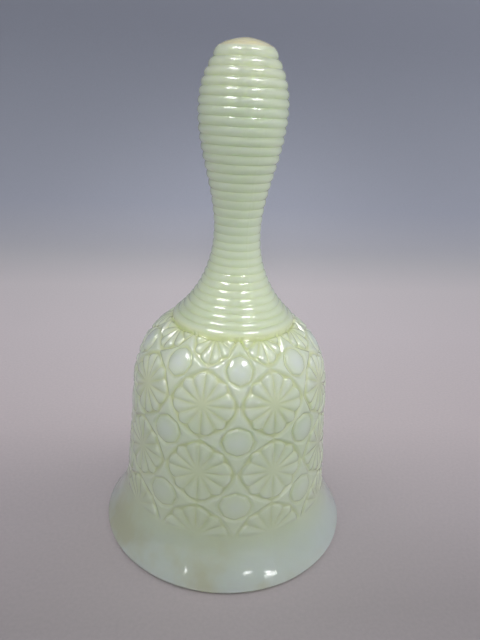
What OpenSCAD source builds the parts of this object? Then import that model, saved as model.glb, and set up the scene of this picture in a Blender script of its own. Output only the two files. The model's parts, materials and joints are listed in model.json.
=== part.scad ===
// Pressed-glass table bell: ribbed handle, daisy-and-button skirt, chain and clapper.
// +Z is up. The origin is the centre of the rim, on the surface that the bell stands on.

/* [Bell] */
// Diameter across the rim
rim_d = 76; // [72:1:80]
// Height from the rim to the tip of the handle
bell_h = 141; // [138:0.5:144]
// Thickness of the glass wall
wall = 4.2; // [3.6:0.1:4.6]
// Width of the flat edge that the bell stands on
rim_edge = 1.4; // [1:0.1:2]
// Height of the flared lip above the rim
flare_h = 19; // [17:0.5:21]
// Height of the crease between the shoulder and the handle
crease_z = 67.8; // [67:0.2:69]
// Height of the crown of the hollow, on the axis
crown_z = 62; // [61:0.5:62.5]

/* [Handle] */
// Diameter of the handle's foot, at the crease
foot_d = 35.4; // [35:0.2:37]
// Diameter of the neck
neck_d = 13.1; // [12:0.1:15]
// Height of the neck
neck_z = 93; // [91:0.5:95]
// Largest diameter of the grip
grip_d = 23.6; // [22:0.2:26]
// Height of the grip's widest rib
grip_z = 124.5; // [122:0.5:126]
// Ribs between the neck and the tip
upper_ribs = 19; // [16:1:22]
// Ribs on the foot, below the neck
foot_ribs = 13; // [9:1:14]
// Depth of the grooves between the ribs
rib_depth = 0.5; // [0.3:0.1:0.8]

/* [Buttons] */
// Columns of buttons around the skirt
columns = 9; // [6:1:10]
// Width of one button
button_d = 7; // [6:0.2:8]
// How far a button stands out of the skirt
button_proud = 0.8; // [0.4:0.1:1]

/* [Chain] */
// Wire of the chain links
link_wire = 0.9; // [0.7:0.1:1]
// Overall length of one link
link_len = 5.9; // [5.4:0.1:6.2]
// Overall width of one link
link_w = 3.4; // [3.2:0.1:3.6]
// Wire of the hanger eye
eye_wire = 1.2; // [1:0.1:1.3]
// Gap between one link's wire and the next
slack = 0.05; // [0.03:0.01:0.08]

/* [Clapper] */
// Diameter of the glass bead
bead_d = 13; // [11:0.5:14]
// Diameter of the head that holds the bead on its pin
head_d = 3; // [2.4:0.2:4]

/* [Hidden] */
$fn = 96;

// Skirt: radius where the lip starts to flare, and where the shoulder starts to round in
rim_r = rim_d / 2;
waist_r = 0.82 * rim_r;
shoulder_r = 0.765 * rim_r;
shoulder_z = 46;
shoulder_rise = 25.85;
shoulder_power = 2.3;
lip_round = 0.9;
flare_power = 1.8;
crease_r = foot_d / 2 - 0.4;

// Handle: the foot is one arc from the neck out to the crease
foot_drop = neck_z - crease_z - 1;
foot_out = (foot_d - neck_d) / 2;
foot_angle = 2 * atan(foot_out / foot_drop);
foot_arc_r = foot_drop / sin(foot_angle);
tip_z = bell_h - 4.9;
grip_rise = 17.2;

// Heights of the rows of buttons
button_rows = [23.8, 43, 62];

// Cement pocket in the crown, and the wire eye set in it
plug_r = 4.5;
plug_top = crown_z + 4;
plug_bottom = crown_z - 1.2;
eye_r = 2;
eye_z = crown_z - 4;
shank_top = plug_top - 1;
shank_bore_gap = 0.01;

// Chain: centre-line sizes of one link, and the height of each wire that a piece swings on
link_end_r = (link_w - link_wire) / 2;
link_h = link_len - link_wire;
first_pivot = eye_z - eye_r;
first_bottom = first_pivot + (eye_wire + link_wire) / 2 + slack - link_h;
link_pitch = link_h - link_wire - slack;
function link_bottom(k) = first_bottom - (k - 1) * link_pitch;

// Clapper: the pin's eye hangs on the last link
pin_eye_r = 1.5;
pin_eye_z = link_bottom(8) + link_wire + slack - pin_eye_r;
bead_z = pin_eye_z - pin_eye_r - 1 - bead_d / 2;
bead_flat = 0.98;
bead_bore_gap = 0.05;
cap_t = 0.4;
cap_half_angle = 26;
head_h = 0.9;

// Outline of the skirt's outside, as a radius at a height
function skirt_r(z) =
    z < lip_round ? rim_r
    : z < flare_h ? waist_r + (rim_r - waist_r) * pow((flare_h - z) / (flare_h - lip_round), flare_power)
    : z < shoulder_z ? waist_r + (shoulder_r - waist_r) * (z - flare_h) / (shoulder_z - flare_h)
    : dome_r(shoulder_r, (z - shoulder_z) / shoulder_rise);

// Radius of a squared dome of base radius a at a share h of its rise
function dome_r(a, h) = a * pow(1 - pow(h, shoulder_power), 1 / shoulder_power);

// Outline of the hollow
function hollow_r(z) =
    z < shoulder_z ? skirt_r(z) - wall
    : dome_r(shoulder_r - wall, (z - shoulder_z) / (crown_z - shoulder_z));

// Groove depth at a position counted in ribs: rounded beads with sharp grooves between them
function rib(w) = rib_depth * (1 - abs(sin(180 * w)));
rib_steps = [0, 0.2, 0.5, 0.8];

// Envelope of the handle above the neck
function grip_r(z) =
    z < grip_z ? neck_d / 2 + (grip_d - neck_d) / 4 * (1 - cos(180 * (z - neck_z) / (grip_z - neck_z)))
    : grip_d / 2 * sqrt(1 - pow((z - grip_z) / grip_rise, 2));

// One point of the foot, w ribs below the neck
function foot_point(w) =
    let (a = foot_angle * w / foot_ribs)
    [neck_d / 2 + foot_arc_r * (1 - cos(a)) - rib(w) * cos(a),
     neck_z - foot_arc_r * sin(a) - rib(w) * sin(a)];

// One point of the grip, w ribs above the neck
function grip_point(w) =
    let (z = neck_z + (tip_z - neck_z) * w / upper_ribs)
    [grip_r(z) - rib(w), z];

// Rounded tip: a shallow dome that closes the handle
tip_r = grip_r(tip_z) - rib_depth / 2;
function tip_point(a) = [tip_r * cos(a), tip_z + (bell_h - tip_z) * sin(a)];

function outside() = concat(
    [[rim_r - lip_round, 0]],
    [for (i = [0:8]) let (z = lip_round + (flare_h - lip_round) * i / 8) [skirt_r(z), z]],
    [for (i = [0:12])
        let (z = shoulder_z + (crease_z - shoulder_z) * sin(90 * i / 12)) [max(skirt_r(z), crease_r), z]],
    [for (k = [0:foot_ribs - 1], s = rib_steps) foot_point(foot_ribs - k - s)],
    [for (k = [0:upper_ribs - 1], s = rib_steps) grip_point(k + s)],
    [for (i = [0:7]) tip_point(90 * i / 7)]);

function inside() = concat(
    [for (i = [0:12])
        let (z = shoulder_z + (crown_z - shoulder_z) * cos(90 * i / 12)) [hollow_r(z), z]],
    [for (i = [1:9]) let (z = shoulder_z - (shoulder_z - lip_round) * i / 9) [hollow_r(z), z]],
    [[rim_r - lip_round - rim_edge, 0]]);

// A wire ring in the XZ plane
module ring(r, wire) {
    rotate([90, 0, 0])
        rotate_extrude() translate([r, 0]) circle(d = wire);
}

// A domed button whose foot is sunk in the skirt, leaning with the wall
module button(column, z) {
    lean = atan((skirt_r(z - 1) - skirt_r(z + 1)) / 2);
    ball = (pow(button_d / 2, 2) + pow(button_proud, 2)) / (2 * button_proud);
    rotate([0, 0, 360 * column / columns - 90])
        translate([skirt_r(z), 0, z])
            rotate([0, -lean, 0])
                rotate([0, 90, 0])
                    intersection() {
                        translate([0, 0, button_proud - ball]) sphere(r = ball);
                        translate([0, 0, -1.5]) cylinder(d = button_d, h = 4);
                    }
}

module glass_body() {
    color([0.85, 0.9, 0.76])
        difference() {
            union() {
                rotate_extrude() polygon(concat(outside(), inside()));
                for (column = [0:columns - 1], z = button_rows) button(column, z);
            }
            cylinder(r = plug_r, h = plug_top);
        }
}

module cement_plug() {
    color([0.86, 0.84, 0.78])
        difference() {
            translate([0, 0, plug_bottom]) cylinder(r = plug_r, h = plug_top - plug_bottom);
            translate([0, 0, plug_bottom - 1])
                cylinder(r = eye_wire / 2 + shank_bore_gap, h = shank_top + shank_bore_gap - plug_bottom + 1);
        }
}

module hanger_eye() {
    color([0.8, 0.66, 0.36]) {
        translate([0, 0, eye_z]) ring(eye_r, eye_wire);
        translate([0, 0, eye_z + eye_r]) cylinder(d = eye_wire, h = shank_top - eye_z - eye_r);
    }
}

// One oval link in the XZ plane, its lower wire centred on the origin
module oval_link() {
    straight = link_h - 2 * link_end_r;
    for (side = [-1, 1])
        translate([side * link_end_r, 0, link_end_r]) cylinder(d = link_wire, h = straight);
    for (end = [0, 1])
        translate([0, 0, link_end_r + end * straight])
            rotate([90, end * 180, 0])
                rotate([0, 0, 180])
                    rotate_extrude(angle = 180) translate([link_end_r, 0]) circle(d = link_wire);
}

// Link k hangs below link k-1, a quarter turn from it
module chain_link(k) {
    color([0.82, 0.69, 0.4])
        translate([0, 0, link_bottom(k)])
            rotate([0, 0, k % 2 == 1 ? 90 : 0]) oval_link();
}

module clapper_pin() {
    color([0.8, 0.66, 0.36]) {
        translate([0, 0, pin_eye_z]) rotate([0, 0, 90]) ring(pin_eye_r, link_wire);
        translate([0, 0, bead_z - bead_d / 2 * bead_flat - head_h / 2])
            cylinder(d = link_wire, h = pin_eye_z - pin_eye_r - bead_z + bead_d / 2 * bead_flat + head_h / 2);
        translate([0, 0, bead_z - bead_d / 2 * bead_flat - head_h]) cylinder(d = head_d, h = head_h);
    }
}

// Thin cup that sits on top of the bead
module bead_cap() {
    color([0.82, 0.69, 0.4])
        translate([0, 0, bead_z])
            difference() {
                intersection() {
                    sphere(r = bead_d / 2 + cap_t);
                    cylinder(r = bead_d / 2 * sin(cap_half_angle), h = bead_d);
                }
                sphere(r = bead_d / 2);
                cylinder(d = link_wire + 2 * bead_bore_gap, h = bead_d);
            }
}

module clapper_bead() {
    color([0.87, 0.92, 0.8])
        translate([0, 0, bead_z])
            difference() {
                intersection() {
                    sphere(d = bead_d);
                    cube([bead_d, bead_d, bead_d * bead_flat], center = true);
                }
                cylinder(d = link_wire + 2 * bead_bore_gap, h = bead_d + 2, center = true);
            }
}

glass_body();
cement_plug();
hanger_eye();
chain_link(1);  // chain_link_1
chain_link(2);  // chain_link_2
chain_link(3);  // chain_link_3
chain_link(4);  // chain_link_4
chain_link(5);  // chain_link_5
chain_link(6);  // chain_link_6
chain_link(7);  // chain_link_7
chain_link(8);  // chain_link_8
clapper_pin();
bead_cap();
clapper_bead();
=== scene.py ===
import json
import math

import bpy
import numpy as np
from mathutils import Matrix, Vector


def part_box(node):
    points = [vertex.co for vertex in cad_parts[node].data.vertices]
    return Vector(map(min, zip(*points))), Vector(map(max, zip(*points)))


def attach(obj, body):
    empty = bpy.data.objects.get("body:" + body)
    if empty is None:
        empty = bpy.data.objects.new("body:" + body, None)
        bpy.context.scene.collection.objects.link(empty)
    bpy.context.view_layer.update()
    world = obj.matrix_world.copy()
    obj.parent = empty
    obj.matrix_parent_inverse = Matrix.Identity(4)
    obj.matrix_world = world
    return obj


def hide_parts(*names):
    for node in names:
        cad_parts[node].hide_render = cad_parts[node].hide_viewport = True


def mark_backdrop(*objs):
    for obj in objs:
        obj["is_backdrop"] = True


# Opaque pressed-glass hand bell with a ribbed handle and a daisy-and-button skirt.
# The glass is one fine closed mesh in place of the CAD body. The cement, the wire chain and the bead
# inside it are the CAD solids with materials. The bell's own sizes are in millimetres, and MM turns
# them into metres. The ground, the lights and the textures are in metres.

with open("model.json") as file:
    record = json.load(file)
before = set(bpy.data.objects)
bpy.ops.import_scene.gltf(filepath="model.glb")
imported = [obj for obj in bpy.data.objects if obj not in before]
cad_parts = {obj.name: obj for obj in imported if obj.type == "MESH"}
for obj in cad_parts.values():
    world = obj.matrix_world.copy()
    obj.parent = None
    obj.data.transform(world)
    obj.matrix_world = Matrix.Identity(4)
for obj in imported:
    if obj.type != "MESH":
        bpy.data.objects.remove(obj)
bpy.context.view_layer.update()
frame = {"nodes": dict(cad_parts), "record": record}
MM = 0.001

# ---------------------------------------------------------------- sizes of the glass
# The outline is the CAD model's, except that the tip starts 0.5 higher. What the frame holds is read from it.
glass_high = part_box("glass_body")[1]
rim_r = glass_high.x / MM
bell_h = glass_high.z / MM
plug_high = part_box("cement_plug")[1]
plug_r = plug_high.x / MM
plug_top = plug_high.z / MM

# wall, rim with its rounded outer edge, flat ring and rolled inner edge, and flared lip
wall = 4.2
lip_round = 0.9
rim_edge = 1.4
roll_w = 0.35
roll_h = 0.6
flare_h = 19
flare_power = 1.8
waist_r = 0.82 * rim_r

# shoulder, ends of the hollow, and the crease between the shoulder and the foot of the handle
shoulder_r = 0.765 * rim_r
shoulder_z = 46
shoulder_rise = 25.85
shoulder_power = 2.3
hollow_low = 1.2
crown_z = 62
crease_z = 67.8
crease_r = 17.3

# handle: concave foot, neck, grip and tip
neck_r = 6.55
neck_z = 93
foot_r = 17.7
foot_drop = neck_z - crease_z - 1
foot_angle = 2 * math.atan((foot_r - neck_r) / foot_drop)
foot_arc_r = foot_drop / math.sin(foot_angle)
grip_r = 11.8
grip_z = 124.5
grip_rise = 17.2
tip_z = bell_h - 4.4


def smoothstep(low, high, x):
    """0 below low, 1 above high, and a smooth rise between them."""
    t = np.clip((x - low) / (high - low), 0, 1)
    return t * t * (3 - 2 * t)


def smooth_min(a, b, width):
    """The smaller of two heights, rounded over about that width where they cross."""
    return 0.5 * (a + b - np.sqrt((a - b) ** 2 + width * width))


def bulge(x, height, width):
    """That height at zero, and nothing a few widths away."""
    return height * np.exp(-((x / width) ** 2))


# ---------------------------------------------------------------- outlines, radius at a height
def dome(base_r, share):
    """Radius of a squared dome at a share of its rise."""
    left = np.clip(1 - np.clip(share, 0, 1) ** shoulder_power, 0, 1)
    return base_r * left ** (1 / shoulder_power)


def skirt_r(z):
    """Outside of the glass from the rim up to the crease, without the pattern."""
    z = np.asarray(z, float)
    low = np.clip((flare_h - z) / (flare_h - lip_round), 0, 1)
    flare = waist_r + (rim_r - waist_r) * low ** flare_power
    straight = waist_r + (shoulder_r - waist_r) * (z - flare_h) / (shoulder_z - flare_h)
    shoulder = np.maximum(dome(shoulder_r, (z - shoulder_z) / shoulder_rise), crease_r)
    return np.where(z < flare_h, flare, np.where(z < shoulder_z, straight, shoulder))


def hollow_r(z):
    """Inside of the glass from the rim up to the crown."""
    z = np.asarray(z, float)
    crown = dome(shoulder_r - wall, (z - shoulder_z) / (crown_z - shoulder_z))
    return np.where(z < shoulder_z, skirt_r(z) - wall, crown)


def even_steps(points, step):
    """Points along a polyline at an even spacing, with the distance of each from the start."""
    along = np.concatenate([[0], np.cumsum(np.hypot(*np.diff(points, axis=0).T))])
    at = np.linspace(0, along[-1], round(along[-1] / step) + 1)
    return np.stack([np.interp(at, along, points[:, 0]), np.interp(at, along, points[:, 1])], 1), at


def push_out(line, height):
    """Radius and height of an outline after each of its points moves outward by those heights."""
    d = np.gradient(line, axis=0)
    normals = np.stack([d[:, 1], -d[:, 0]], 1)
    normals /= np.linalg.norm(normals, axis=1)[:, None]
    if normals[len(normals) // 2, 0] < 0:
        normals = -normals
    return line[:, :1] + normals[:, :1] * height, line[:, 1:] + normals[:, 1:] * height


# ---------------------------------------------------------------- daisy-and-button relief
# The pattern is a grid. Even columns and rows cross in buttons, odd ones in daisies, and the
# four-cornered gems fill the rest. Heights are from the skirt's plain surface.
COLUMNS = 9
HALF_TURN = math.pi / COLUMNS
ROW_STEP = 9.87
FIRST_ROW = 8.6
GROOVE = -0.58
DEEPEST = GROOVE - 0.05

PETALS = 12
DAISY_AXIS = 9.65
DAISY_DIAGONAL = 8.7
DAISY_MIDDLE = -0.40
PETAL_RISE = 0.55
PETAL_RISE_OVER = (1.0, 7.4)
PETAL_CUT = 0.58
PETAL_CUT_OVER = (0.5, 6.0)
PETAL_ROUNDNESS = 1.9
PETAL_END_SLOPE = 1.35
PETAL_END_INSET = 0.1
PETAL_END_CURVE = 0.95

BUTTON_R = 4.0
BUTTON_CORNER = 1.05 * BUTTON_R
BUTTON_SQUARENESS = 0.65
BUTTON_TOP = 0.42
BUTTON_CROWN = 0.4
BUTTON_SLOPE = 1.9
GEM_TOP = 0.1
GEM_SLOPE = 0.75
EDGE_ROUND = 0.2
GEM_EDGE_ROUND = 0.12

# rows over which the pattern fades, stops, gives way to the lip's small step, and to the lip's tone
FADE_ROWS = (1.0, 4.0)
FADE_SHARE = 0.3
END_ROWS = (4.86, 5.06)
STEP_ROWS = (5.0, 5.9)
STEP_DEPTH = 0.24
LIP_ROWS = (4.4, 6.2)
CREASE_DEPTH = 0.5
CREASE_REACH = 0.7


def row_at(down):
    """Row of the pattern at a distance down the skirt from the crease."""
    return (down - FIRST_ROW) / ROW_STEP


def from_daisy(count):
    """Distance from the nearest odd row or column."""
    return ((count - 1) - 2 * np.round((count - 1) / 2)) * ROW_STEP


def inside_octagon(x, y, axis, diagonal):
    """How far a point lies inside an octagon with corners at those distances on the axes and diagonals."""
    corner = diagonal / math.sqrt(2)
    side = (corner, axis - corner)
    reach = side[0] * np.maximum(x, y) + side[1] * np.minimum(x, y)
    return (side[0] * axis - reach) / math.hypot(*side)


def petal_height(x, y, in_daisy):
    """Rounded ridges between sharp grooves, sinking towards a small smooth centre."""
    r = np.hypot(x, y)
    turn = np.arctan2(y, x) * PETALS / (2 * math.pi)
    off_ridge = np.abs(2 * (turn - np.floor(turn)) - 1)
    crest = DAISY_MIDDLE + PETAL_RISE * smoothstep(*PETAL_RISE_OVER, r)
    cut = PETAL_CUT * smoothstep(*PETAL_CUT_OVER, r)
    end = GROOVE + PETAL_END_SLOPE * (in_daisy - PETAL_END_INSET - PETAL_END_CURVE * off_ridge ** 2)
    return smooth_min(crest - cut * off_ridge ** PETAL_ROUNDNESS, end, EDGE_ROUND)


def button_height(button_at, in_button):
    """A low crowned top with a bevel around it."""
    top = BUTTON_TOP - BUTTON_CROWN * (button_at / BUTTON_R) ** 2
    return smooth_min(top, GROOVE + BUTTON_SLOPE * in_button, EDGE_ROUND)


def gem_height(outside):
    """A flat top with bevels that start at the daisies and buttons."""
    return smooth_min(GEM_TOP, GROOVE + GEM_SLOPE * outside, GEM_EDGE_ROUND)


def relief(column, row):
    """Height of the pattern at a place in its grid."""
    x, y = from_daisy(column), from_daisy(row)
    ax, ay = np.abs(x), np.abs(y)
    in_daisy = inside_octagon(ax, ay, DAISY_AXIS, DAISY_DIAGONAL)

    bx, by = ROW_STEP - ax, ROW_STEP - ay
    button_at = np.hypot(bx, by)
    octagon_at = BUTTON_R - inside_octagon(bx, by, BUTTON_CORNER, BUTTON_CORNER)
    in_button = BUTTON_R - BUTTON_SQUARENESS * octagon_at - (1 - BUTTON_SQUARENESS) * button_at

    gem = gem_height(np.minimum(-in_daisy, -in_button))
    height = np.where(in_daisy > 0, petal_height(x, y, in_daisy), gem)
    height = np.where(in_button > 0, button_height(button_at, in_button), height)
    return np.maximum(height, DEEPEST)


def skirt_relief(angle, down):
    """Relief at an angle from a button column and a distance down the skirt from the crease."""
    row = row_at(down)
    plain = smoothstep(*END_ROWS, row)
    fade = 1 - FADE_SHARE * smoothstep(*FADE_ROWS, row)
    pattern = relief(angle / HALF_TURN, row) * (1 - plain) * fade
    step = STEP_DEPTH * plain * (1 - smoothstep(*STEP_ROWS, row))
    into_crease = CREASE_DEPTH * (1 - smoothstep(0.0, CREASE_REACH, down))
    return pattern - step - into_crease


# ---------------------------------------------------------------- mesh helpers
def new_object(name, verts, faces, material):
    """A smooth-shaded object with one material."""
    mesh = bpy.data.meshes.new(name)
    mesh.from_pydata([tuple(v) for v in verts], [], faces)
    mesh.validate()
    mesh.materials.append(material)
    mesh.polygons.foreach_set("use_smooth", [True] * len(mesh.polygons))
    mesh.update()
    obj = bpy.data.objects.new(name, mesh)
    bpy.context.scene.collection.objects.link(obj)
    return obj


class Shell:
    """Closed rings of points with faces between them, and values painted on the points."""

    def __init__(self, *layers):
        self.points = []
        self.faces = []
        self.layers = {name: [] for name in layers}
        self.count = 0

    def add(self, grid, painted):
        """Adds a grid of points, and gives the number of the first. What isn't painted is 0."""
        shape = grid.shape[:2]
        for name, values in self.layers.items():
            values.append(np.broadcast_to(painted.get(name, 0.0), shape).ravel())
        self.points.append(grid.reshape(-1, 3) * MM)
        self.count += shape[0] * shape[1]
        return self.count - shape[0] * shape[1]

    def middle(self, z, **painted):
        """Adds one point on the axis."""
        return self.add(np.array([[[0, 0, z]]]), painted)

    def rings(self, r, z, angles, flip=False, **painted):
        """Adds rings and the faces between them, and gives the first vertex of the first and last ring."""
        around = len(angles)
        r = np.broadcast_to(r, (len(r), around))
        z = np.broadcast_to(z, r.shape)
        first = self.add(np.stack([r * np.cos(angles), r * np.sin(angles), z], -1), painted)
        last = first + (len(r) - 1) * around
        for ring in range(first, last, around):
            self.join(ring, ring + around, around, flip)
        return first, last

    def join(self, ring, other, around, flip=False):
        """Quads between two rings of the same count."""
        for j in range(around):
            k = (j + 1) % around
            quad = (ring + j, ring + k, other + k, other + j)
            self.faces.append(quad[::-1] if flip else quad)

    def fan(self, ring, middle, around, flip=False):
        """Triangles from a ring to one point."""
        for j in range(around):
            triangle = (ring + j, ring + (j + 1) % around, middle)
            self.faces.append(triangle[::-1] if flip else triangle)

    def to_object(self, name, material):
        """The finished object, with its painted layers as point attributes."""
        obj = new_object(name, np.vstack(self.points), self.faces, material)
        for layer, values in self.layers.items():
            attribute = obj.data.attributes.new(layer, "FLOAT", "POINT")
            attribute.data.foreach_set("value", np.concatenate(values).astype(np.float32))
        return obj


# ---------------------------------------------------------------- the glass
# The skirt has FINE points for each one of the handle, because its pattern is finer.
FINE = 3
HANDLE_AROUND = 264
SKIRT_AROUND = HANDLE_AROUND * FINE
OUTLINE_POINTS = 4000
SKIRT_STEP = 0.2
LIP_STEPS = 6
HOLLOW_STEPS = 60
CAP_RINGS = 32
PROUD_TOP = 0.45

UPPER_RIBS = 19
FOOT_RIBS = 13
RIB_STEPS = 10
RIB_DEPTH = 0.46
# depth of the grooves between ribs, by rib: at the crease, at the neck and from some ribs above it
GROOVE_RIBS = (0, FOOT_RIBS, FOOT_RIBS + 8)
GROOVE_DEPTHS = (0.28, 0.19, RIB_DEPTH)

CAP_POWERS = (2.5, 0.72)
CAP_RIDGE_AT = 0.5
CAP_RIDGE = (0.1, 0.05)
PEACH_FROM = (0.42, 0.58)

# mould seams: how many, and each one's height and its width in radians
FRONT = -math.pi / 2
SEAMS = 3
SKIRT_SEAM = (0.06, 0.006)
HANDLE_SEAM = (0.03, 0.035)

# painted shade, yellow along the crease: its share, and how far it reaches down the skirt and, in ribs, up
# the handle
SKIRT_CREASE_SHADE = (0.6, 1.3)
HANDLE_CREASE_SHADE = (0.4, 0.3)


def seam(angles, height, width):
    """Ridge of the three mould joints, which run down between the button columns."""
    turn = (angles - FRONT - HALF_TURN) * SEAMS / (2 * math.pi)
    return bulge((turn - np.round(turn)) * 2 * math.pi / SEAMS, height, width)


def add_skirt(shell, angles):
    """Patterned outside, from the crease down to the lip."""
    z = crease_z + (lip_round - crease_z) * np.linspace(0, 1, OUTLINE_POINTS)
    line, down = even_steps(np.stack([skirt_r(z), z], 1), SKIRT_STEP)
    down = down[:, None]
    lip = smoothstep(*LIP_ROWS, row_at(down))
    height = skirt_relief(angles - FRONT, down) + seam(angles, *SKIRT_SEAM) * lip
    r, z = push_out(line, height)
    # how proud each point stands, which sets the painted shade in the grooves
    proud = np.clip((height - GROOVE) / (PROUD_TOP - GROOVE), 0, 1)
    # painted shade along the crease, fading down the skirt
    warm = bulge(down, *SKIRT_CREASE_SHADE)
    return shell.rings(np.minimum(r, rim_r), z, angles, flip=True, raised=proud, plain=lip, warm=warm)


def inside_profile():
    """Radius and height from the rounded lip, under the rim and up the hollow, to the top of the pocket."""
    curl = np.radians(np.linspace(12, 90, LIP_STEPS))
    lip = [(rim_r - lip_round + lip_round * math.cos(a), lip_round - lip_round * math.sin(a)) for a in curl]
    edge_r = rim_r - lip_round - rim_edge
    rolled = [1 - math.cos(a) for a in np.radians((20, 50, 90))]
    roll = [(edge_r - roll_w * share, roll_h * share) for share in rolled]

    up_z = np.linspace(hollow_low, shoulder_z, HOLLOW_STEPS)
    turn = np.linspace(0, math.pi / 2, HOLLOW_STEPS)[1:]
    over_z = shoulder_z + (crown_z - shoulder_z) * np.sin(turn)
    hollow = [(float(hollow_r(z)), z) for z in np.concatenate([up_z, over_z])]
    hollow = [(r, z) for r, z in hollow if r > plug_r + 0.15]

    # a narrow chamfer leads from the hollow into the pocket
    pocket_z = hollow[-1][1] + 0.03
    pocket = [(plug_r + 0.05, pocket_z), (plug_r, pocket_z + 0.1), (plug_r, plug_top)]
    return np.array(lip + [(edge_r, 0.0)] + roll + hollow + pocket)


def add_inside(shell, angles):
    """Rounded lip, resting edge, hollow and the pocket for the cement, closed at its top."""
    profile = inside_profile()
    first, last = shell.rings(profile[:, :1], profile[:, 1:], angles, flip=True, raised=0.75, plain=0.6)
    shell.fan(last, shell.middle(plug_top, raised=0.5), SKIRT_AROUND, flip=True)
    return first


def rib_places(ribs):
    """Places counted in ribs, closer together near the grooves between the round beads."""
    along = np.arange(ribs * RIB_STEPS + 1)
    inside = (1 - np.cos(math.pi * (along % RIB_STEPS) / RIB_STEPS)) / 2
    return along // RIB_STEPS + inside


def handle_line():
    """Handle outline from the crease up to the tip, without grooves, and its places counted in ribs."""
    foot_place = rib_places(FOOT_RIBS)
    a = foot_angle * (1 - foot_place / FOOT_RIBS)
    foot = np.stack([neck_r + foot_arc_r * (1 - np.cos(a)), neck_z - foot_arc_r * np.sin(a)], 1)

    place = rib_places(UPPER_RIBS)[1:]
    z = neck_z + (tip_z - neck_z) * place / UPPER_RIBS
    swell = neck_r + (grip_r - neck_r) / 2 * (1 - np.cos(math.pi * (z - neck_z) / (grip_z - neck_z)))
    close = grip_r * np.sqrt(np.clip(1 - ((z - grip_z) / grip_rise) ** 2, 0, 1))
    grip = np.stack([np.where(z < grip_z, swell, close), z], 1)
    return np.vstack([foot, grip]), np.concatenate([foot_place, FOOT_RIBS + place])


def add_handle(shell, angles):
    """Ribbed handle: round beads between grooves, which are deeper on the grip."""
    line, place = handle_line()
    place = place[:, None]
    bead = 4 * (place % 1) * (1 - place % 1)
    depth = np.interp(place, GROOVE_RIBS, GROOVE_DEPTHS)
    r, z = push_out(line, seam(angles, *HANDLE_SEAM) - depth * (1 - bead))
    # painted shade along the crease, fading up the foot
    warm = bulge(place, *HANDLE_CREASE_SHADE)
    # the grooves between the beads get the relief's painted shade
    return shell.rings(r, z, angles, raised=0.3 + 0.35 * bead, warm=warm)


def add_cap(shell, angles):
    """Tip of the handle, with a faint ridge half way up and peach above it."""
    share = np.linspace(0, 1, CAP_RINGS + 2)[1:-1, None]
    base_r = handle_line()[0][-1, 0] - RIB_DEPTH / 2
    rise = np.sin(share * math.pi / 2)
    r = base_r * (1 - rise ** CAP_POWERS[0]) ** CAP_POWERS[1] + bulge(rise - CAP_RIDGE_AT, *CAP_RIDGE)
    z = tip_z + (bell_h - tip_z) * rise
    first, last = shell.rings(r, z, angles, raised=0.7, tip=smoothstep(*PEACH_FROM, rise))
    shell.fan(last, shell.middle(bell_h, raised=0.7, tip=1.0), HANDLE_AROUND)
    return first


def close_crease(shell, skirt_top, handle_foot):
    """Faces where each edge of the handle meets several finer ones of the skirt."""
    for j in range(HANDLE_AROUND):
        k = (j + 1) % HANDLE_AROUND
        edge = [skirt_top + (j * FINE + i) % SKIRT_AROUND for i in range(FINE + 1)]
        shell.faces.append((*edge, handle_foot + k, handle_foot + j))


def glass_mesh(skin):
    """The whole glass as one closed mesh."""
    fine = FRONT + np.linspace(0, 2 * math.pi, SKIRT_AROUND, endpoint=False)
    coarse = fine[::FINE]
    shell = Shell("raised", "plain", "tip", "warm")
    skirt_top, skirt_end = add_skirt(shell, fine)
    lip = add_inside(shell, fine)
    shell.join(skirt_end, lip, SKIRT_AROUND, flip=True)
    handle_foot, handle_top = add_handle(shell, coarse)
    cap = add_cap(shell, coarse)
    shell.join(handle_top, cap, HANDLE_AROUND)
    close_crease(shell, skirt_top, handle_foot)
    return shell.to_object("bell_glass", skin)


# ---------------------------------------------------------------- materials
class Nodes:
    """Short ways to add and link nodes in one node tree."""

    def __init__(self, tree):
        self.tree = tree
        tree.nodes.clear()

    def link(self, source, socket):
        self.tree.links.new(source, socket)

    def add(self, kind, **settings):
        """A new node, with its sockets or its own settings given by name."""
        made = self.tree.nodes.new(kind)
        for key, value in settings.items():
            if key in made.inputs:
                made.inputs[key].default_value = value
            else:
                setattr(made, key, value)
        return made

    def place(self, system):
        return self.add("ShaderNodeTexCoord").outputs[system]

    def attribute(self, name):
        return self.add("ShaderNodeAttribute", attribute_name=name).outputs["Fac"]

    def noise(self, scale, detail=3, roughness=0.5):
        """Noise that stays on the object."""
        made = self.add("ShaderNodeTexNoise", Scale=scale, Detail=detail, Roughness=roughness)
        self.link(self.place("Object"), made.inputs["Vector"])
        return made.outputs["Fac"]

    def along(self, system, axis, low, high):
        """Place along an axis, from 0 at low to 1 at high."""
        split = self.add("ShaderNodeSeparateXYZ")
        span = self.add("ShaderNodeMapRange", **{"From Min": low, "From Max": high})
        self.link(self.place(system), split.inputs["Vector"])
        self.link(split.outputs[axis], span.inputs["Value"])
        return span.outputs["Result"]

    def ramp(self, source, stops):
        """Colours along a value, from stops of (place, colour). A number stands for a grey."""
        made = self.add("ShaderNodeValToRGB")
        while len(made.color_ramp.elements) < len(stops):
            made.color_ramp.elements.new(0.5)
        for element, (at, colour) in zip(made.color_ramp.elements, stops):
            element.position = at
            element.color = (*colour, 1) if isinstance(colour, tuple) else (colour, colour, colour, 1)
        self.link(source, made.inputs["Fac"])
        return made.outputs["Color"]

    def mix(self, factor, a, b, blend="MIX"):
        """Two colours mixed. Each value is a socket, a colour or a number."""
        made = self.add("ShaderNodeMix", data_type="RGBA", blend_type=blend)
        for name, value in (("Factor", factor), ("A", a), ("B", b)):
            if isinstance(value, bpy.types.NodeSocket):
                self.link(value, made.inputs[name])
            else:
                made.inputs[name].default_value = (*value, 1) if isinstance(value, tuple) else value
        return made.outputs["Result"]


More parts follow.
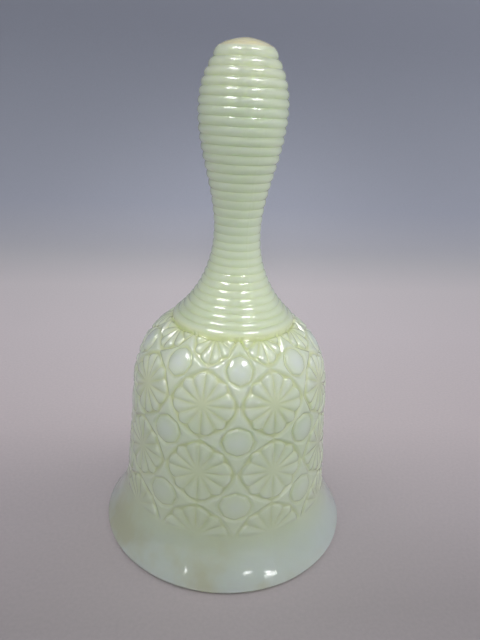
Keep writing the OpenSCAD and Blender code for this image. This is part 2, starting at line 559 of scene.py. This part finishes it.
class Look(Nodes):
    """A new material with one surface shader."""

    def __init__(self, name, **settings):
        self.material = bpy.data.materials.new(name)
        self.material.use_nodes = True
        super().__init__(self.material.node_tree)
        self.out = self.add("ShaderNodeOutputMaterial")
        self.shader = self.add("ShaderNodeBsdfPrincipled", **settings)
        self.link(self.shader.outputs["BSDF"], self.out.inputs["Surface"])

    def colour(self, source):
        self.link(source, self.shader.inputs["Base Color"])

    def roughness(self, source, stops):
        self.link(self.ramp(source, stops), self.shader.inputs["Roughness"])

    def bump(self, source, strength, distance):
        made = self.add("ShaderNodeBump", Strength=strength, Distance=distance)
        self.link(source, made.inputs["Height"])
        self.link(made.outputs["Normal"], self.shader.inputs["Normal"])


# painted shade and light by the relief: greener and yellower at the bottom of the grooves, paler on what
# stands proud
RELIEF_SHADE_TONES = [(0.0, (0.80, 0.875, 0.54)), (0.35, (0.79, 0.88, 0.63)), (0.72, (0.785, 0.88, 0.665)),
                (0.95, (0.81, 0.895, 0.76))]
# and painted light and shade by height, from the rim to the tip: darker towards the rim, where less light
# falls, and palest at the shoulder and foot, which catch the most light
HEIGHT_SHADE_TONES = [(0.0, (0.73, 0.74, 0.70)), (0.20, (0.77, 0.78, 0.82)), (0.33, (0.80, 0.82, 0.85)),
                (0.43, (0.895, 0.885, 0.965)), (0.50, (0.945, 0.945, 0.95)), (0.56, (0.945, 0.945, 0.955)),
                (0.66, (0.82, 0.84, 0.88)), (0.88, (0.855, 0.885, 0.905)), (0.95, (0.92, 0.91, 0.93))]
# the lip's own milky, mottled tones, set as dark as the painted shade towards the rim
SHADED_LIP_TONES = [(0.36, (0.48, 0.51, 0.37)), (0.47, (0.515, 0.585, 0.515)), (0.68, (0.54, 0.62, 0.59))]
TIP_PEACH = (0.95, 0.87, 0.58)
CREASE_SHADE_YELLOW = (0.74, 0.81, 0.42)


def custard_glass():
    """Opaque pale yellow-green pressed glass, milky at the lip, peach at the tip, with painted shade, greener
    in the grooves, yellower along the crease and darker towards the rim, and painted light, paler on what
    stands proud and at the shoulder and foot.
    """
    look = Look("custard_glass", **{
        "IOR": 1.5,
        "Subsurface Weight": 1.0,
        "Subsurface Radius": (1.0, 1.0, 0.8),
        "Subsurface Scale": 0.006,
        "Coat Weight": 0.5,
        "Coat Roughness": 0.04})
    # painted shade and light by the relief: greener and yellower in the grooves, paler on what stands proud
    relief_shade = look.ramp(look.attribute("raised"), RELIEF_SHADE_TONES)
    mottle = look.ramp(look.noise(38, 4, 0.55), [(0.38, (0.92, 0.93, 0.88)), (0.62, 1.0)])
    body = look.mix(0.6, relief_shade, mottle, "MULTIPLY")
    # painted light and shade by height: darker towards the rim, palest at the shoulder and foot
    tone = look.ramp(look.along("Object", "Z", 0.0, bell_h * MM), HEIGHT_SHADE_TONES)
    body = look.mix(1.0, body, tone, "MULTIPLY")
    # the lip's own milky mottle, as dark as the painted shade towards the rim
    lip = look.ramp(look.noise(42, 4, 0.55), SHADED_LIP_TONES)
    body = look.mix(look.attribute("plain"), body, lip)
    body = look.mix(look.attribute("tip"), body, TIP_PEACH)
    # painted shade: yellower along the crease
    body = look.mix(look.attribute("warm"), body, CREASE_SHADE_YELLOW)
    look.colour(body)
    look.roughness(look.noise(160, 4, 0.6), [(0.3, 0.05), (0.75, 0.10)])
    look.bump(look.noise(420), 0.14, 0.0003)
    return look.material


def brass(name, bright, dark, tarnish_scale):
    """Drawn brass wire, a little tarnished."""
    look = Look(name, Metallic=1.0)
    tarnish = look.noise(tarnish_scale, 5, 0.6)
    look.colour(look.ramp(tarnish, [(0.35, dark), (0.6, bright)]))
    look.roughness(tarnish, [(0.3, 0.42), (0.7, 0.24)])
    look.bump(look.noise(3000, 2), 0.2, 0.00005)
    return look.material


def cement():
    """White cement with fine pits."""
    look = Look("cement")
    look.colour(look.ramp(look.noise(300, 5, 0.6), [(0.3, (0.55, 0.52, 0.44)), (0.7, (0.72, 0.70, 0.62))]))
    grain = look.noise(1500, 4, 0.6)
    look.roughness(grain, [(0.3, 0.7), (0.8, 0.9)])
    look.bump(grain, 0.6, 0.0002)
    return look.material


def bead_glass():
    """Opaque pale glass of the clapper bead, with a faint swirl."""
    look = Look("bead_glass", **{
        "IOR": 1.5,
        "Subsurface Weight": 0.3,
        "Subsurface Radius": (1.0, 1.0, 0.6),
        "Subsurface Scale": 0.002,
        "Coat Weight": 0.3,
        "Coat Roughness": 0.05})
    swirl = look.add("ShaderNodeTexWave", Scale=60, Distortion=6, Detail=3)
    look.link(look.place("Object"), swirl.inputs["Vector"])
    look.colour(look.ramp(swirl.outputs["Fac"], [(0.2, (0.62, 0.69, 0.46)), (0.8, (0.70, 0.76, 0.57))]))
    look.roughness(look.noise(400), [(0.3, 0.10), (0.8, 0.2)])
    return look.material


# painted shade and shadow on the ground: darkest in front of the bell's rim, pale behind it, and darker and
# cooler up the backdrop
GROUND_NEAR, GROUND_FAR = -0.15, 0.55
GROUND_SHADE_TONES = [(0.0, (0.47, 0.465, 0.47)), (0.15, (0.51, 0.50, 0.505)), (0.20, (0.69, 0.67, 0.68)),
                (0.28, (0.86, 0.825, 0.83)), (0.42, (0.92, 0.90, 0.91)), (0.54, (0.91, 0.91, 0.915)),
                (0.65, (0.75, 0.79, 0.81)), (0.82, (0.53, 0.60, 0.70)), (1.0, (0.42, 0.49, 0.58))]


def ground_cloth():
    """Matt ground with painted shade, darker in front of the bell and up the backdrop, seen from above only,
    so that the bell can be looked at from below.
    """
    look = Look("ground", Roughness=0.9)
    cloth = look.ramp(look.noise(900, 3, 0.6), [(0.3, (0.80, 0.745, 0.765)), (0.7, (0.86, 0.795, 0.815))])
    # painted shade and shadow by distance back: darkest in front of the bell, darker and cooler up the
    # backdrop
    tone = look.ramp(look.along("Object", "Y", GROUND_NEAR, GROUND_FAR), GROUND_SHADE_TONES)
    look.colour(look.mix(1.0, cloth, tone, "MULTIPLY"))

    below = look.add("ShaderNodeNewGeometry").outputs["Backfacing"]
    clear = look.add("ShaderNodeBsdfTransparent")
    sides = look.add("ShaderNodeMixShader")
    look.link(below, sides.inputs["Fac"])
    look.link(look.shader.outputs["BSDF"], sides.inputs[1])
    look.link(clear.outputs["BSDF"], sides.inputs[2])
    look.link(sides.outputs["Shader"], look.out.inputs["Surface"])
    return look.material


# ---------------------------------------------------------------- stage
GROUND_HALF = 2.2
BEND_AT = 0.33
BEND_R = 0.20
BACKDROP_H = 1.8


def sweep_ground():
    """Pale ground that curves up into a soft backdrop behind the bell, as (distance back, height)."""
    outline = [(-GROUND_HALF, 0.0), (-0.6, 0.0), (0.0, 0.0), (BEND_AT, 0.0)]
    bend = np.radians(np.arange(6, 91, 6))
    outline += [(BEND_AT + BEND_R * math.sin(a), BEND_R * (1 - math.cos(a))) for a in bend]
    outline += [(BEND_AT + BEND_R, BEND_R + 0.4), (BEND_AT + BEND_R, BACKDROP_H)]
    verts = [(x, y, z) for y, z in outline for x in (-GROUND_HALF, GROUND_HALF)]
    faces = [(2 * i, 2 * i + 1, 2 * i + 3, 2 * i + 2) for i in range(len(outline) - 1)]
    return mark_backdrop(new_object("ground", verts, faces, ground_cloth()))


# ---------------------------------------------------------------- camera
# It stands a little round from the front, looks down, and is slightly turned and tilted.
CAMERA_AROUND = math.radians(-5.84)
CAMERA_BACK = 3.96 * rim_r * MM
CAMERA_UP = 3.332 * rim_r * MM
CAMERA_PITCH = 0.380
CAMERA_ROLL = 0.055
CAMERA_YAW = 0.014
FOCAL_SHARE = 550 / 640


def camera_axes():
    """The camera's right, up and forward directions."""
    turn = CAMERA_YAW - CAMERA_AROUND
    flat = math.cos(CAMERA_PITCH)
    forward = Vector((math.sin(turn) * flat, math.cos(turn) * flat, -math.sin(CAMERA_PITCH)))
    level = Vector((math.cos(turn), -math.sin(turn), 0))
    up = level.cross(forward)
    c, s = math.cos(CAMERA_ROLL), math.sin(CAMERA_ROLL)
    return c * level + s * up, c * up - s * level, forward


def place_camera():
    """A camera whose focal length is FOCAL_SHARE of the picture's height."""
    data = bpy.data.cameras.new("camera")
    data.lens = data.sensor_width * FOCAL_SHARE
    data.clip_start = 0.005
    data.clip_end = 20
    camera = bpy.data.objects.new("camera", data)
    bpy.context.scene.collection.objects.link(camera)
    right, up, forward = camera_axes()
    at = (math.sin(CAMERA_AROUND) * CAMERA_BACK, -math.cos(CAMERA_AROUND) * CAMERA_BACK, CAMERA_UP)
    camera.matrix_world = Matrix((
        (right.x, up.x, -forward.x, at[0]),
        (right.y, up.y, -forward.y, at[1]),
        (right.z, up.z, -forward.z, at[2]),
        (0, 0, 0, 1)))
    bpy.context.scene.camera = camera


# ---------------------------------------------------------------- light
# Azimuth 0 is the camera's side of the bell, and positive azimuths are to the camera's right.
PANEL_AIM = Vector((0, 0, 0.08))
POOL_AIM = Vector((0, 0, 0.085))
WINDOW_AT = 1.3
ROOM_LIGHT = 0.34
ROOM_MIRRORED = 0.95
ROOM_TONES = [(0.0, (0.62, 0.60, 0.61)), (0.5, (0.78, 0.78, 0.80)), (1.0, (0.95, 0.95, 0.96))]


def place_light(name, data, azimuth, elevation, distance, aim):
    """A light at that azimuth, elevation and distance from aim, turned towards it."""
    light = bpy.data.objects.new(name, data)
    bpy.context.scene.collection.objects.link(light)
    a, e = math.radians(azimuth) + CAMERA_AROUND, math.radians(elevation)
    away = Vector((math.sin(a) * math.cos(e), -math.cos(a) * math.cos(e), math.sin(e)))
    light.location = aim + away * distance
    light.rotation_mode = "QUATERNION"
    light.rotation_quaternion = away.to_track_quat("Z", "Y")
    return light


def panel(name, azimuth, elevation, distance, size, power, lights=True, mirrored=True):
    """A soft panel that lights the bell, is mirrored in it, or both."""
    data = bpy.data.lights.new(name, "AREA")
    data.shape = "RECTANGLE"
    data.size, data.size_y = size
    data.energy = power
    light = place_light(name, data, azimuth, elevation, distance, PANEL_AIM)
    light.visible_diffuse = lights
    light.visible_glossy = mirrored


def window(name, azimuth, elevation, size, power):
    """A bright pane that the glass mirrors as a glint, and that adds no other light."""
    panel(name, azimuth, elevation, WINDOW_AT, size, power, lights=False)


def pool(name, azimuth, elevation, distance, radius, softness, power):
    """A soft pool of light that dims away from the middle of the bell."""
    data = bpy.data.lights.new(name, "SPOT")
    data.energy = power
    data.spot_size = 2 * math.atan(radius / distance)
    data.spot_blend = 1.0
    data.shadow_soft_size = softness
    place_light(name, data, azimuth, elevation, distance, POOL_AIM).visible_glossy = False


def soft_room():
    """Even light from all sides, a little brighter from above, and brighter still where it is mirrored."""
    world = bpy.data.worlds.new("room")
    bpy.context.scene.world = world
    world.use_nodes = True
    room = Nodes(world.node_tree)
    back = room.add("ShaderNodeBackground")
    strength = room.add("ShaderNodeMapRange", **{"To Min": ROOM_LIGHT, "To Max": ROOM_MIRRORED})
    room.link(room.add("ShaderNodeLightPath").outputs["Is Glossy Ray"], strength.inputs["Value"])
    room.link(strength.outputs["Result"], back.inputs["Strength"])
    tone = room.ramp(room.along("Generated", "Z", -1.0, 1.0), ROOM_TONES)
    room.link(tone, back.inputs["Color"])
    room.link(back.outputs["Background"], room.add("ShaderNodeOutputWorld").inputs["Surface"])


def studio():
    """Soft panels and room light, and the small panes whose glints show on the ribs, daisies and lip."""
    soft_room()
    panel("overhead", 150, 80, 1.5, (1.6, 1.6), 2.4)
    panel("behind", 180, 40, 1.5, (1.6, 1.2), 2.8)
    panel("right_side", 95, 20, 1.4, (1.2, 1.2), 7.2, mirrored=False)
    panel("left_side", -100, 58, 1.4, (1.2, 1.2), 3.7, mirrored=False)
    pool("front", 0, 20, 1.0, 0.13, 0.12, 26.5)
    window("window_left", -52, 62, (0.50, 0.34), 8.5)
    window("window_right", 52, 62, (0.38, 0.30), 6.3)
    window("low_left", -29, 7, (0.06, 0.04), 0.09)
    window("low_middle", 23, 7, (0.16, 0.04), 0.2)
    window("low_right", 44, 7, (0.24, 0.04), 0.5)


def finish_inner_parts():
    """Materials for the CAD solids inside the bell, by the record's material slots."""
    finishes = {
        "cement": cement(),
        "brass_wire": brass("brass_wire", (0.72, 0.52, 0.24), (0.42, 0.27, 0.11), 500),
        "brass_chain": brass("brass_chain", (0.76, 0.57, 0.28), (0.46, 0.31, 0.13), 700),
        "bead_glass": bead_glass()}
    for part in frame["record"]["subparts"]:
        if part["material_slot"] in finishes:
            mesh = frame["nodes"][part["node"]].data
            mesh.materials.clear()
            mesh.materials.append(finishes[part["material_slot"]])


# ---------------------------------------------------------------- build
place_camera()
sweep_ground()
studio()

bell = glass_mesh(custard_glass())
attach(bell, "bell")
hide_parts("glass_body")
finish_inner_parts()

bpy.context.scene.view_settings.view_transform = "Standard"
